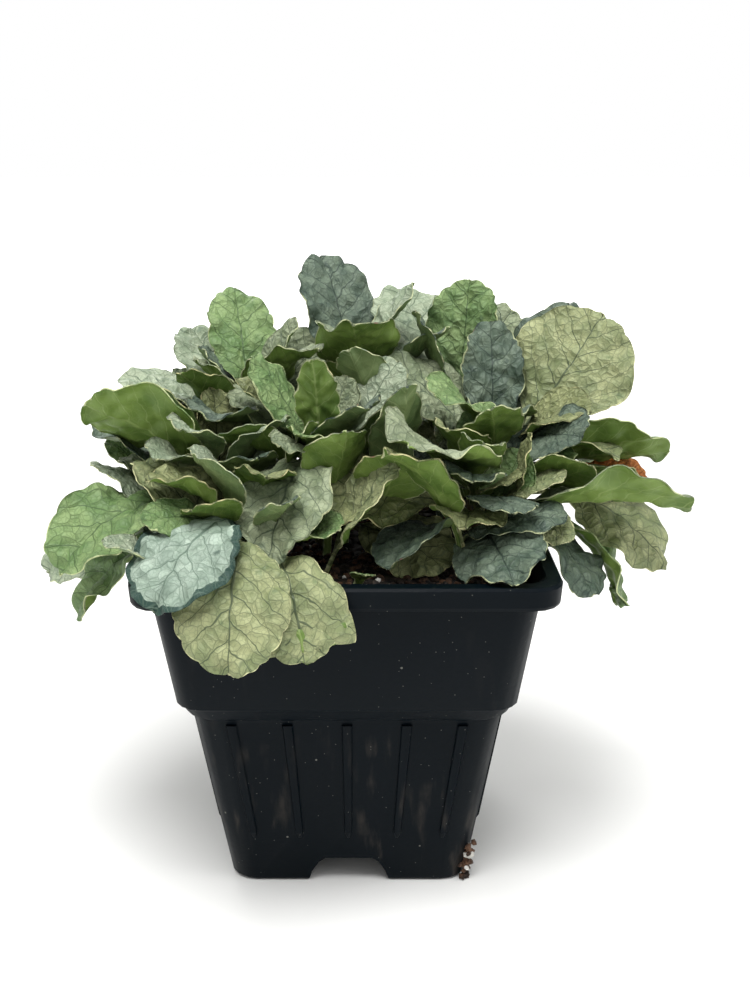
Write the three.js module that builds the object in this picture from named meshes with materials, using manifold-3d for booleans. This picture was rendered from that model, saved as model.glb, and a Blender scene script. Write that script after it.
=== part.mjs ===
// Bugleweed (ground-cover perennial) growing in a square nursery pot.
// Millimetres, +Z up, the front of the pot faces -Y, the pot stands on Z = 0.
import * as THREE from 'three';
import Module from 'manifold-3d';

const wasm = await Module();
wasm.setup();
const { Manifold, Mesh } = wasm;

// ---------------------------------------------------------------- pot
const POT_HEIGHT = 102;
const RIM_HALF = 58.4;
const RIM_DROP = 6.5;
const LIP_THICK = 1.3;
const MOUTH_HALF = 53.8;
const SKIRT_TOP_HALF = 54.4;
const SHOULDER_Z = 62.5;
const SHOULDER_HALF = 48.6;
const BODY_TOP_Z = 57.5;
const BODY_TOP_HALF = 44.6;
const BASE_HALF = 35.8;
const WALL = 1.4;
const FLOOR_Z = 9;
const FLOOR_THICK = 1.6;
const CORNER_RADIUS = 8;
const CORNER_STEPS = 4;
const RIB_X = [-33, -17, 0, 17, 33];
const RIB_LOW_Z = 16;
const RIB_HIGH_Z = 56;
const NOTCH_HEIGHT = 8.4;
const NOTCH_TOP = 16;
const NOTCH_FOOT = 25;
const DRAIN_RADIUS = 4.5;
const DRAIN_OFFSET = 19;

// ---------------------------------------------------------------- soil
const SOIL_Z = 96.5;
const SOIL_GAP = 0.35;
const SOIL_CELLS = 10;
const SOCKET_DEPTH = 6;

// ---------------------------------------------------------------- plant
const STEM_RADIUS = 2.3;
const STEM_GAP = 0.35;
const RUNNER_RADIUS = 1.4;
const RUNNER_Z = SOIL_Z - 1.5;
const LEAF_THICK = 0.8;
const PETIOLE_THICK = 1.4;
const PETIOLE_HALF = 1.35;
const CLEARANCE = 2.9;
// A leaf that droops more than this bends mostly at its stalk, and hangs flat.
const HANGING = 100;
const GROWTH_STEPS = 260;
const SETTLE_STEPS = 120;

// A crown is the short upright stem one rosette of leaves grows from: x, y, top.
const CROWNS = {
  front: [-26, -30, 107],
  left: [-38, -4, 117],
  middle: [-8, -6, 121],
  near_right: [37, -13, 116],
  right: [45, 7, 123],
  back_left: [-32, 26, 129],
  back: [2, 32, 135],
  back_right: [34, 28, 131],
};

const RUNNERS = [
  ['front', 'middle'], ['left', 'middle'], ['middle', 'near_right'], ['near_right', 'right'],
  ['left', 'back_left'], ['back_left', 'back'], ['back', 'back_right'],
];

// One leaf a line: distance down the stem, heading (0 = +X, 90 = +Y), rise of the
// stalk, stalk length, blade length, blade width, droop over the whole leaf,
// cupping of the blade edges, roll about the midrib, height of the edge waves.
const LEAVES = {
  front: [
    [1.8, -122, 84, 13, 38, 32, 134, -8, 0, 0.7],
    [4.2, -94, 72, 16, 41, 31, 142, -5, 5, 0.9],
    [6.6, -64, 46, 19, 43, 28, 118, 8, -10, 1.2],
    [7.6, 178, 16, 18, 43, 19, 84, 25, 30, 1.2],
    [0.5, -166, 62, 7, 28, 20, 50, 50, 0, 0.8],
    [3, 50, 60, 6, 18, 17, 40, 10, 0, 0.7],
  ],
  left: [
    [9, -138, 22, 14, 43, 27, 66, 28, 20, 1.2],
    [14.5, 178, 8, 16, 43, 33, 54, -5, 25, 0.8],
    [4, 153, 46, 8, 38, 31, 36, 15, -10, 1.0],
    [0.5, -156, 44, 6, 40, 32, 24, 22, -46, 1.2],
    [5, 108, 62, 8, 32, 23, 34, 15, 0, 0.8],
    [6.5, 64, 60, 7, 30, 20, 34, 40, 0, 0.6],
    [7.8, -58, 64, 6, 24, 21, 40, 10, 0, 0.7],
    [11, -104, 42, 9, 32, 27, 62, 5, 0, 1.0],
    [17.5, 150, 20, 12, 36, 28, 40, 0, 10, 1.0],
  ],
  middle: [
    [4.5, -108, 70, 13, 42, 30, 116, 10, -10, 1.1],
    [0.5, -96, 82, 6, 31, 13, 16, 30, 0, 0.6],
    [3, 134, 58, 7, 33, 26, 38, 12, 0, 0.8],
    [6, 24, 60, 6, 29, 22, 38, 15, -10, 0.8],
    [18, -40, 20, 14, 31, 24, 50, 5, -25, 1.4],
    [12, -12, 44, 6, 26, 20, 46, 0, -35, 0.9],
  ],
  near_right: [
    [0.5, -118, 54, 7, 41, 35, 50, 44, 14, 1.2],
    [7, -160, 30, 13, 38, 28, 40, 14, 34, 0.9],
    [13, -80, 20, 7, 37, 26, 54, -8, -28, 1.1],
    [8, -14, 26, 12, 49, 30, 38, 32, 25, 1.3],
    [2.6, 36, 50, 7, 29, 23, 32, 35, -10, 0.8],
    [8, -98, 36, 6, 28, 22, 44, 20, 10, 1.0],
  ],
  right: [
    [0.5, 16, 46, 14, 38, 40, -14, -5, -46, 0.9],
    [7, -9, 28, 9, 42, 29, 34, 26, 40, 1.2],
    [18, -38, 16, 16, 46, 25, 94, 34, 30, 1.0],
    [14, -21, 22, 19, 39, 29, 84, -6, -20, 0.8],
    [2.2, 92, 82, 8, 35, 20, 20, 28, 0, 0.8],
    [4, 42, 74, 14, 42, 28, 26, 10, 0, 0.8],
    [10, 46, 36, 12, 40, 31, 62, -5, 0, 1.0],
    [3.4, 168, 60, 8, 37, 29, 32, 18, 20, 1.0],
    [7.6, -72, 66, 6, 26, 19, 40, 25, 0, 0.9],
    [21, -58, 2, 14, 34, 22, 52, 0, 0, 0.9],
  ],
  back_left: [
    [0.5, 104, 74, 10, 40, 22, 44, 20, 0, 0.8],
    [5, 131, 62, 8, 37, 28, 34, 10, 0, 0.8],
    [2, 24, 70, 7, 31, 22, 32, 12, -30, 0.8],
    [4, -38, 66, 7, 36, 26, 38, 34, 0, 1.0],
    [11, 141, 46, 12, 40, 31, 50, -5, 0, 1.0],
    [15, 172, 32, 10, 37, 29, 44, 5, 10, 0.9],
    [9, -160, 50, 10, 39, 28, 44, 15, 15, 0.9],
    [20, 112, 26, 10, 35, 30, 68, -8, 0, 1.0],
    [10, 60, 46, 8, 30, 24, 42, 8, 0, 0.8],
  ],
  back: [
    [0.5, 122, 80, 10, 40, 29, 26, 10, 0, 0.9],
    [2.6, 12, 76, 8, 36, 15, 22, 38, 0, 0.6],
    [3.8, -92, 66, 8, 36, 28, 38, 34, 0, 1.0],
    [13, 94, 50, 9, 34, 31, 72, -8, 0, 1.0],
    [22, 112, 22, 10, 35, 30, 66, -8, 0, 1.0],
  ],
  back_right: [
    [0.5, 66, 84, 8, 35, 26, 10, 30, 0, 0.6],
    [2.4, 122, 66, 9, 43, 35, 34, 5, 0, 0.9],
    [5, 66, 70, 9, 39, 32, 32, 5, 0, 0.9],
    [9, -142, 56, 7, 33, 25, 38, 10, 34, 0.8],
    [14, 88, 46, 10, 36, 31, 72, -8, 0, 1.0],
    [21, 56, 22, 11, 35, 30, 66, -8, 0, 1.0],
  ],
};

// A leaf is described on a grid: rows from stalk to tip, five points across.
const STALK_ROWS = [0, 0.45, 0.9];
const BLADE_ROWS = [0.1, 0.24, 0.38, 0.52, 0.66, 0.79, 0.9, 0.97];
const ACROSS = [-1, -0.55, 0, 0.55, 1];
const ROWS = STALK_ROWS.length + BLADE_ROWS.length;
const COLS = ACROSS.length;

const rad = (degrees) => (degrees * Math.PI) / 180;
const lerp = (a, b, t) => a + (b - a) * t;

// ---------------------------------------------------------------- solids
function solidFrom(points, faces) {
  const mesh = new Mesh({
    numProp: 3,
    vertProperties: new Float32Array(points.flat()),
    triVerts: new Uint32Array(faces.flat()),
  });
  return new Manifold(mesh);
}

function meshFrom(solid, name, colour, roughness) {
  const data = solid.getMesh();
  const geometry = new THREE.BufferGeometry();
  geometry.setAttribute('position', new THREE.BufferAttribute(data.vertProperties, 3));
  geometry.setIndex(new THREE.BufferAttribute(data.triVerts, 1));
  const look = new THREE.MeshStandardMaterial({ color: colour, roughness, metalness: 0 });
  const mesh = new THREE.Mesh(geometry, look);
  mesh.name = name;
  return mesh;
}

// A rounded square, anticlockwise seen from above.
function squareRing(half, z, radius) {
  const ring = [];
  for (let corner = 0; corner < 4; corner += 1) {
    const turn = rad(corner * 90);
    for (let step = 0; step <= CORNER_STEPS; step += 1) {
      const bend = turn + rad((90 * step) / CORNER_STEPS);
      const side = half - radius;
      const cx = side * Math.SQRT2 * Math.cos(turn + rad(45));
      const cy = side * Math.SQRT2 * Math.sin(turn + rad(45));
      ring.push([cx + radius * Math.cos(bend), cy + radius * Math.sin(bend), z]);
    }
  }
  return ring;
}

// A regular polygon standing in for a circle, anticlockwise seen from above.
function roundRing(x, y, z, radius, sides) {
  const ring = [];
  for (let j = 0; j < sides; j += 1) {
    const turn = rad((360 * (j + 0.5)) / sides);
    ring.push([x + radius * Math.cos(turn), y + radius * Math.sin(turn), z]);
  }
  return ring;
}

// Skin over a stack of rings with equal counts, closed by a fan at each end.
function loft(rings) {
  const count = rings[0].length;
  const points = rings.flat();
  const faces = [];
  for (let k = 0; k + 1 < rings.length; k += 1) {
    for (let j = 0; j < count; j += 1) {
      const next = (j + 1) % count;
      const a = k * count + j;
      const b = k * count + next;
      faces.push([a, b, b + count], [a, b + count, a + count]);
    }
  }
  const centreOf = (ring) => {
    const sum = ring.reduce((t, p) => [t[0] + p[0], t[1] + p[1], t[2] + p[2]], [0, 0, 0]);
    return sum.map((v) => v / ring.length);
  };
  const low = points.length;
  points.push(centreOf(rings[0]));
  const high = points.length;
  points.push(centreOf(rings[rings.length - 1]));
  const top = (rings.length - 1) * count;
  for (let j = 0; j < count; j += 1) {
    const next = (j + 1) % count;
    faces.push([low, next, j], [high, top + j, top + next]);
  }
  return solidFrom(points, faces);
}

// Outer half width of the pot wall at a height, rim lip left out.
function wallHalf(z) {
  if (z < BODY_TOP_Z) {
    return lerp(BASE_HALF, BODY_TOP_HALF, z / BODY_TOP_Z);
  }
  if (z < SHOULDER_Z) {
    return lerp(BODY_TOP_HALF, SHOULDER_HALF, (z - BODY_TOP_Z) / (SHOULDER_Z - BODY_TOP_Z));
  }
  return lerp(SHOULDER_HALF, SKIRT_TOP_HALF, (z - SHOULDER_Z) / (POT_HEIGHT - SHOULDER_Z));
}

function innerHalf(z) {
  return Math.min(wallHalf(z) - WALL, MOUTH_HALF);
}

function wallRing(z, shrink) {
  return squareRing(wallHalf(z) - shrink, z, CORNER_RADIUS - shrink * 0.6);
}

function rib(x, side) {
  const grow = 0.9;
  const profile = [
    [RIB_LOW_Z, 0.5, 0.1],
    [RIB_LOW_Z + 2.5, 1.5, grow],
    [RIB_HIGH_Z, 2, grow],
  ];
  const rings = profile.map(([z, halfWidth, out]) => {
    const face = wallHalf(z);
    const cx = (x * (face - 4)) / (BODY_TOP_HALF - 4);
    return [
      [cx - halfWidth, -face + 0.7, z],
      [cx - halfWidth * 0.6, -face - out, z],
      [cx + halfWidth * 0.6, -face - out, z],
      [cx + halfWidth, -face + 0.7, z],
    ];
  });
  return loft(rings).rotate([0, 0, side * 90]);
}

function footNotch(side) {
  const shape = [
    [-NOTCH_FOOT / 2, -1],
    [NOTCH_FOOT / 2, -1],
    [NOTCH_FOOT / 2 - 1.5, 3.5],
    [NOTCH_TOP / 2 + 1, NOTCH_HEIGHT - 1.4],
    [NOTCH_TOP / 2 - 1, NOTCH_HEIGHT],
    [-NOTCH_TOP / 2 + 1, NOTCH_HEIGHT],
    [-NOTCH_TOP / 2 - 1, NOTCH_HEIGHT - 1.4],
    [-NOTCH_FOOT / 2 + 1.5, 3.5],
  ];
  const near = shape.map(([x, z]) => [x, -BASE_HALF - 6, z]);
  const far = shape.map(([x, z]) => [x, -BASE_HALF + 8, z]);
  return loft([far, near]).rotate([0, 0, side * 90]);
}

function nurseryPot() {
  let pot = loft([
    wallRing(0, 0.8),
    wallRing(1, 0),
    wallRing(BODY_TOP_Z, 0),
    wallRing(BODY_TOP_Z + 1.2, -0.6),
    wallRing(SHOULDER_Z - 1.2, 0.4),
    wallRing(SHOULDER_Z, 0),
    wallRing(POT_HEIGHT - 1, 0),
  ]);
  const lip = loft([
    squareRing(RIM_HALF - 0.7, POT_HEIGHT - RIM_DROP, CORNER_RADIUS),
    squareRing(RIM_HALF - 0.3, POT_HEIGHT - RIM_DROP + 1, CORNER_RADIUS),
    squareRing(RIM_HALF, POT_HEIGHT - 0.8, CORNER_RADIUS),
    squareRing(RIM_HALF - 0.6, POT_HEIGHT, CORNER_RADIUS),
  ]);
  const lipHollow = loft([
    squareRing(RIM_HALF - LIP_THICK - 0.5, POT_HEIGHT - RIM_DROP - 1, CORNER_RADIUS),
    squareRing(RIM_HALF - LIP_THICK, POT_HEIGHT - LIP_THICK, CORNER_RADIUS),
  ]);
  for (let side = 0; side < 4; side += 1) {
    for (const x of RIB_X) {
      pot = pot.add(rib(x, side));
    }
  }
  pot = lip.subtract(lipHollow).add(pot);
  const floorTop = FLOOR_Z + FLOOR_THICK;
  pot = pot.subtract(loft([
    squareRing(innerHalf(floorTop) - 2, floorTop, CORNER_RADIUS - 2),
    squareRing(innerHalf(floorTop + 2), floorTop + 2, CORNER_RADIUS - 1),
    squareRing(innerHalf(BODY_TOP_Z), BODY_TOP_Z, CORNER_RADIUS - 1),
    squareRing(innerHalf(SHOULDER_Z + 2), SHOULDER_Z + 2, CORNER_RADIUS - 1),
    squareRing(innerHalf(POT_HEIGHT - 2), POT_HEIGHT - 2, CORNER_RADIUS - 1),
    squareRing(MOUTH_HALF, POT_HEIGHT - 0.6, CORNER_RADIUS - 1),
    squareRing(MOUTH_HALF + 0.8, POT_HEIGHT + 0.6, CORNER_RADIUS - 1),
  ]));
  pot = pot.subtract(loft([
    squareRing(BASE_HALF - WALL - 1, -1, CORNER_RADIUS - 1),
    squareRing(BASE_HALF - WALL, FLOOR_Z, CORNER_RADIUS - 1),
  ]));
  for (const [x, y] of [[0, 0], [1, 1], [1, -1], [-1, 1], [-1, -1]]) {
    const ringAt = (z) => roundRing(x * DRAIN_OFFSET, y * DRAIN_OFFSET, z, DRAIN_RADIUS, 10);
    pot = pot.subtract(loft([ringAt(FLOOR_Z - 2), ringAt(floorTop + 2)]));
  }
  for (let side = 0; side < 4; side += 1) {
    pot = pot.subtract(footNotch(side));
  }
  return meshFrom(pot, 'nursery_pot', 0x12181f, 0.5);
}

// ---------------------------------------------------------------- soil
function soilHeight(x, y) {
  const mound = 1.2 * Math.cos((x * Math.PI) / 110) * Math.cos((y * Math.PI) / 110);
  const lumps = Math.sin(x * 0.31 + 1) * Math.cos(y * 0.37) + 0.6 * Math.sin(x * 0.8 + y * 0.6);
  return SOIL_Z - 0.6 + mound + 0.5 * lumps;
}

function pottingSoil() {
  const half = innerHalf(SOIL_Z - 2) - SOIL_GAP - 0.25;
  const points = [];
  const faces = [];
  const n = SOIL_CELLS;
  for (let j = 0; j <= n; j += 1) {
    for (let i = 0; i <= n; i += 1) {
      const u = (2 * i) / n - 1;
      const v = (2 * j) / n - 1;
      const round = 1 - 0.055 * (u * v) ** 6;
      const x = half * u * round;
      const y = half * v * round;
      points.push([x, y, soilHeight(x, y)]);
    }
  }
  const edge = [];
  for (let i = 0; i < n; i += 1) edge.push(i);
  for (let j = 0; j < n; j += 1) edge.push(j * (n + 1) + n);
  for (let i = n; i > 0; i -= 1) edge.push(n * (n + 1) + i);
  for (let j = n; j > 0; j -= 1) edge.push(j * (n + 1));
  for (let j = 0; j < n; j += 1) {
    for (let i = 0; i < n; i += 1) {
      const a = j * (n + 1) + i;
      faces.push([a, a + 1, a + n + 2], [a, a + n + 2, a + n + 1]);
    }
  }
  const floorTop = FLOOR_Z + FLOOR_THICK + SOIL_GAP;
  const levels = [SHOULDER_Z + 2, BODY_TOP_Z, floorTop + 2.4, floorTop];
  let upper = edge;
  for (const z of levels) {
    const inset = z === floorTop ? 2.6 : 0;
    const scale = (innerHalf(z) - SOIL_GAP - 0.25 - inset) / half;
    const lower = edge.map((index) => {
      points.push([points[index][0] * scale, points[index][1] * scale, z]);
      return points.length - 1;
    });
    for (let k = 0; k < edge.length; k += 1) {
      const next = (k + 1) % edge.length;
      faces.push([upper[k], lower[k], lower[next]], [upper[k], lower[next], upper[next]]);
    }
    upper = lower;
  }
  points.push([0, 0, floorTop]);
  const bottom = points.length - 1;
  for (let k = 0; k < upper.length; k += 1) {
    faces.push([bottom, upper[(k + 1) % upper.length], upper[k]]);
  }
  const soil = solidFrom(points, faces).subtract(rootSolid(STEM_GAP));
  return meshFrom(soil, 'potting_soil', 0x1c1612, 0.95);
}

function crownStem(crown, grow) {
  const [x, y, top] = CROWNS[crown];
  const foot = SOIL_Z - SOCKET_DEPTH - grow;
  const profile = [
    [foot, 1.1],
    [SOIL_Z + 1, 1.1],
    [lerp(SOIL_Z, top, 0.5), 0.97],
    [top, 0.95],
    [top + 2.2, 0.55],
  ];
  return loft(profile.map(([z, swell]) => roundRing(x, y, z, STEM_RADIUS * swell + grow, 8)));
}

// A creeping runner lies half sunk in the soil between two crowns.
function runner(from, to, grow) {
  const [ax, ay] = CROWNS[from];
  const [bx, by] = CROWNS[to];
  const length = Math.hypot(bx - ax, by - ay);
  const heading = (Math.atan2(by - ay, bx - ax) * 180) / Math.PI;
  const reach = RUNNER_RADIUS + grow;
  const tube = loft([roundRing(0, 0, 0, reach, 6), roundRing(0, 0, length, reach, 6)]);
  return tube.rotate([0, 90, heading]).translate([ax, ay, RUNNER_Z]);
}

function rootSolid(grow) {
  let root = crownStem('front', grow);
  for (const name of Object.keys(CROWNS)) {
    root = root.add(crownStem(name, grow));
  }
  for (const [from, to] of RUNNERS) {
    root = root.add(runner(from, to, grow));
  }
  return root;
}

function rootstock() {
  return meshFrom(rootSolid(0), 'rootstock', 0x6d7a4a, 0.7);
}

// ---------------------------------------------------------------- leaves
function bladeHalf(fraction, width) {
  const bulge = Math.sin(Math.PI * fraction ** 1.15) ** 0.5;
  return Math.max(PETIOLE_HALF, (width / 2) * bulge);
}

// The leaf as it would grow with nothing in its way: grid points and the tip.
function freeLeaf(crown, row, index) {
  const [drop, heading, rise, stalk, length, width, droop, cup, roll, wave] = row;
  const [cx, cy, top] = CROWNS[crown];
  const ahead = new THREE.Vector3(Math.cos(rad(heading)), Math.sin(rad(heading)), 0);
  const up = new THREE.Vector3(0, 0, 1);
  const right = new THREE.Vector3(ahead.y, -ahead.x, 0);
  const whole = stalk + length;
  const early = droop > HANGING ? 2.4 : 1;
  const bend = (share) => 1 - (1 - share) ** early;
  const reach = [...STALK_ROWS.map((f) => f * stalk), ...BLADE_ROWS.map((f) => stalk + f * length)];
  reach.push(whole);
  const centre = new THREE.Vector3(cx, cy, top - drop);
  centre.addScaledVector(ahead, STEM_RADIUS + STEM_GAP + 0.35);
  const points = [];
  let travelled = 0;
  for (let k = 0; k <= ROWS; k += 1) {
    const parts = 6;
    const step = (reach[k] - travelled) / parts;
    for (let part = 0; part < parts; part += 1) {
      const middle = (travelled + step * (part + 0.5)) / whole;
      const pitch = rad(rise - droop * bend(middle));
      centre.addScaledVector(ahead, step * Math.cos(pitch));
      centre.addScaledVector(up, step * Math.sin(pitch));
    }
    travelled = reach[k];
    if (k === ROWS) {
      break;
    }
    const pitch = rad(rise - droop * bend(travelled / whole));
    const turned = rad(roll) * Math.min(1, (travelled / whole) * 1.6);
    const normal = ahead.clone().multiplyScalar(-Math.sin(pitch));
    normal.addScaledVector(up, Math.cos(pitch));
    const side = right.clone().multiplyScalar(Math.cos(turned));
    side.addScaledVector(normal, Math.sin(turned));
    normal.multiplyScalar(Math.cos(turned));
    normal.addScaledVector(right, -Math.sin(turned));
    const blade = (travelled - stalk) / length;
    const half = k < STALK_ROWS.length ? PETIOLE_HALF : bladeHalf(blade, width);
    const fullness = half / (width / 2);
    const bow = rad(cup) * fullness + 0.0001;
    for (const t of ACROSS) {
      const ripple = Math.sin(blade * 9 + index * 2.1 + (t > 0 ? 1.7 : 0)) * wave * t * t * fullness;
      const point = centre.clone();
      point.addScaledVector(side, (half * Math.sin(bow * t)) / bow);
      point.addScaledVector(normal, (half * (1 - Math.cos(bow * t))) / bow + ripple);
      points.push(point);
    }
  }
  points.push(centre.clone());
  return points;
}

// Sample spots on a leaf, each tied to its four nearest grid points.
function sampleSpots(points) {
  const spots = [];
  for (let k = 0; k + 1 < ROWS; k += 1) {
    const middle = k * COLS + 2;
    const along = points[middle].distanceTo(points[middle + COLS]);
    const rows = Math.max(1, Math.round(along / 2.4));
    for (let r = 0; r < rows; r += 1) {
      const f = r / rows;
      for (let j = 0; j + 1 < COLS; j += 1) {
        const a = k * COLS + j;
        const wide = lerp(points[a].distanceTo(points[a + 1]),
          points[a + COLS].distanceTo(points[a + COLS + 1]), f);
        const cols = Math.max(1, Math.round(wide / 2.4));
        const last = j + 2 === COLS ? 1 : 0;
        for (let c = 0; c < cols + last; c += 1) {
          const g = c / cols;
          spots.push({
            at: [a, a + 1, a + COLS, a + COLS + 1],
            share: [(1 - f) * (1 - g), (1 - f) * g, f * (1 - g), f * g],
          });
        }
      }
    }
  }
  const end = (ROWS - 1) * COLS;
  const tip = ROWS * COLS;
  for (let j = 0; j < COLS; j += 1) {
    spots.push({ at: [end + j, tip, tip, tip], share: [1, 0, 0, 0] });
    spots.push({ at: [end + j, tip, tip, tip], share: [0.4, 0.6, 0, 0] });
  }
  return spots;
}

// Keep a leaf point clear of the pot, the soil and the crown stems.
function clearOfPot(p, crown, push) {
  const margin = 1.7;
  const reach = Math.max(Math.abs(p.x), Math.abs(p.y));
  if (p.z < POT_HEIGHT + margin && reach < RIM_HALF + margin) {
    const outward = RIM_HALF + margin - reach;
    const upward = POT_HEIGHT + margin - p.z;
    if (reach < innerHalf(SOIL_Z) - margin) {
      const ground = soilHeight(p.x, p.y) + margin;
      if (p.z < ground) {
        push.z += ground - p.z;
      }
    } else if (outward < upward) {
      if (Math.abs(p.x) > Math.abs(p.y)) {
        push.x += outward * Math.sign(p.x);
      } else {
        push.y += outward * Math.sign(p.y);
      }
    } else {
      push.z += upward;
    }
  }
  for (const [name, [x, y, top]] of Object.entries(CROWNS)) {
    const near = Math.hypot(p.x - x, p.y - y);
    const room = STEM_RADIUS + (name === crown ? 0.9 : 1.9);
    if (p.z < top + 3 && near < room && near > 0.01) {
      push.x += ((p.x - x) / near) * (room - near);
      push.y += ((p.y - y) / near) * (room - near);
    }
  }
}

// Hold the stalk-to-tip and midrib-to-edge lengths the leaf grew with.
function holdLengths(leaf) {
  const { now, rest } = leaf;
  const pull = (from, to) => {
    const length = rest[from].distanceTo(rest[to]);
    const gap = now[to].clone().sub(now[from]);
    gap.multiplyScalar(length / Math.max(gap.length(), 1e-6));
    return now[from].clone().add(gap);
  };
  for (let k = 2; k <= ROWS; k += 1) {
    const from = (k - 1) * COLS + 2;
    const to = k === ROWS ? ROWS * COLS : k * COLS + 2;
    const held = pull(from, to);
    const shift = held.clone().sub(now[to]);
    if (k === ROWS) {
      now[to].copy(held);
    } else {
      for (let j = 0; j < COLS; j += 1) {
        now[k * COLS + j].add(shift);
      }
    }
  }
  for (let k = 1; k < ROWS; k += 1) {
    const middle = k * COLS + 2;
    now[middle - 1].copy(pull(middle, middle - 1));
    now[middle + 1].copy(pull(middle, middle + 1));
    now[middle - 2].copy(pull(middle - 1, middle - 2));
    now[middle + 2].copy(pull(middle + 1, middle + 2));
  }
}

// Spread each grid point's shift over its neighbours so the blade bends smoothly.
function smoothShift(leaf, passes) {
  const { now, rest } = leaf;
  const shift = now.map((p, i) => p.clone().sub(rest[i]));
  const tip = ROWS * COLS;
  for (let pass = 0; pass < passes; pass += 1) {
    const before = shift.map((s) => s.clone());
    for (let k = 1; k < ROWS; k += 1) {
      for (let j = 0; j < COLS; j += 1) {
        const i = k * COLS + j;
        const sum = before[i - COLS].clone();
        sum.add(k + 1 < ROWS ? before[i + COLS] : before[tip]);
        sum.add(before[j > 0 ? i - 1 : i]);
        sum.add(before[j + 1 < COLS ? i + 1 : i]);
        shift[i].lerp(sum.multiplyScalar(0.25), 0.5);
      }
    }
    shift[tip].lerp(before[(ROWS - 1) * COLS + 2], 0.5);
  }
  for (let i = 0; i < now.length; i += 1) {
    const rooted = i < COLS ? 0 : 1;
    now[i].copy(rest[i]).addScaledVector(shift[i], rooted);
  }
}

// Push every pair of close sample spots on different leaves apart.
function pushApart(leaves) {
  const cells = new Map();
  const cellOf = (v) => Math.floor(v / CLEARANCE);
  const keyOf = (x, y, z) => (x + 200) * 250000 + (y + 200) * 500 + (z + 200);
  for (const leaf of leaves) {
    for (const spot of leaf.spots) {
      spot.p.set(0, 0, 0);
      spot.push.set(0, 0, 0);
      for (let n = 0; n < 4; n += 1) {
        spot.p.addScaledVector(leaf.now[spot.at[n]], spot.share[n]);
      }
      const key = keyOf(cellOf(spot.p.x), cellOf(spot.p.y), cellOf(spot.p.z));
      if (!cells.has(key)) {
        cells.set(key, []);
      }
      cells.get(key).push(spot);
    }
  }
  for (const leaf of leaves) {
    for (const spot of leaf.spots) {
      const x = cellOf(spot.p.x);
      const y = cellOf(spot.p.y);
      const z = cellOf(spot.p.z);
      for (let n = 0; n < 27; n += 1) {
        const key = keyOf(x + (n % 3) - 1, y + (Math.floor(n / 3) % 3) - 1, z + Math.floor(n / 9) - 1);
        const near = cells.get(key);
        if (near) {
          for (const other of near) {
            pushPair(spot, other);
          }
        }
      }
      clearOfPot(spot.p, leaf.crown, spot.push);
    }
  }
}

function pushPair(spot, other) {
  if (other.leaf <= spot.leaf) {
    return;
  }
  const sameStem = other.crown === spot.crown;
  const room = sameStem && (spot.low || other.low) ? 1.7 : CLEARANCE;
  const dx = spot.p.x - other.p.x;
  const dy = spot.p.y - other.p.y;
  const dz = spot.p.z - other.p.z;
  const distance = Math.sqrt(dx * dx + dy * dy + dz * dz);
  if (distance >= room) {
    return;
  }
  const gain = (0.5 * (room - distance)) / Math.max(distance, 0.05);
  spot.push.x += dx * gain;
  spot.push.y += dy * gain;
  spot.push.z += dz * gain;
  other.push.x -= dx * gain;
  other.push.y -= dy * gain;
  other.push.z -= dz * gain;
}

function moveByPushes(leaf) {
  const total = leaf.now.map(() => new THREE.Vector3());
  const weight = new Float64Array(leaf.now.length);
  for (const spot of leaf.spots) {
    if (spot.push.lengthSq() < 1e-10) {
      continue;
    }
    const limit = Math.min(1, 1.5 / spot.push.length());
    for (let n = 0; n < 4; n += 1) {
      total[spot.at[n]].addScaledVector(spot.push, spot.share[n] * limit);
      weight[spot.at[n]] += spot.share[n];
    }
  }
  for (let i = COLS; i < leaf.now.length; i += 1) {
    if (weight[i] > 0) {
      leaf.now[i].addScaledVector(total[i], 1 / Math.max(weight[i], 0.6));
    }
  }
}

// Every leaf grows from a small copy of itself while its neighbours push back.
function growLeaves() {
  const leaves = [];
  for (const [crown, rows] of Object.entries(LEAVES)) {
    rows.forEach((row, index) => {
      const free = freeLeaf(crown, row, leaves.length);
      const spots = sampleSpots(free);
      for (const spot of spots) {
        spot.p = new THREE.Vector3();
        spot.push = new THREE.Vector3();
        spot.leaf = leaves.length;
        spot.crown = crown;
        spot.low = spot.at[0] < COLS * 2;
      }
      leaves.push({ name: `leaf_${crown}_${index + 1}`, crown, free, spots });
    });
  }
  const sizeAt = (step) => lerp(0.15, 1, Math.min(1, step / GROWTH_STEPS));
  const scaled = (leaf, size) => leaf.free.map((p) => leaf.free[2].clone().lerp(p, size));
  for (const leaf of leaves) {
    leaf.rest = scaled(leaf, sizeAt(0));
    leaf.now = leaf.rest.map((p) => p.clone());
  }
  for (let step = 0; step < GROWTH_STEPS + SETTLE_STEPS; step += 1) {
    pushApart(leaves);
    for (const leaf of leaves) {
      moveByPushes(leaf);
      const grown = scaled(leaf, sizeAt(step + 1));
      const carry = sizeAt(step + 1) / sizeAt(step);
      leaf.now.forEach((p, i) => p.sub(leaf.rest[i]).multiplyScalar(0.995 * carry).add(grown[i]));
      leaf.rest = grown;
      smoothShift(leaf, 1);
      holdLengths(leaf);
    }
  }
  return leaves;
}

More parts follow.
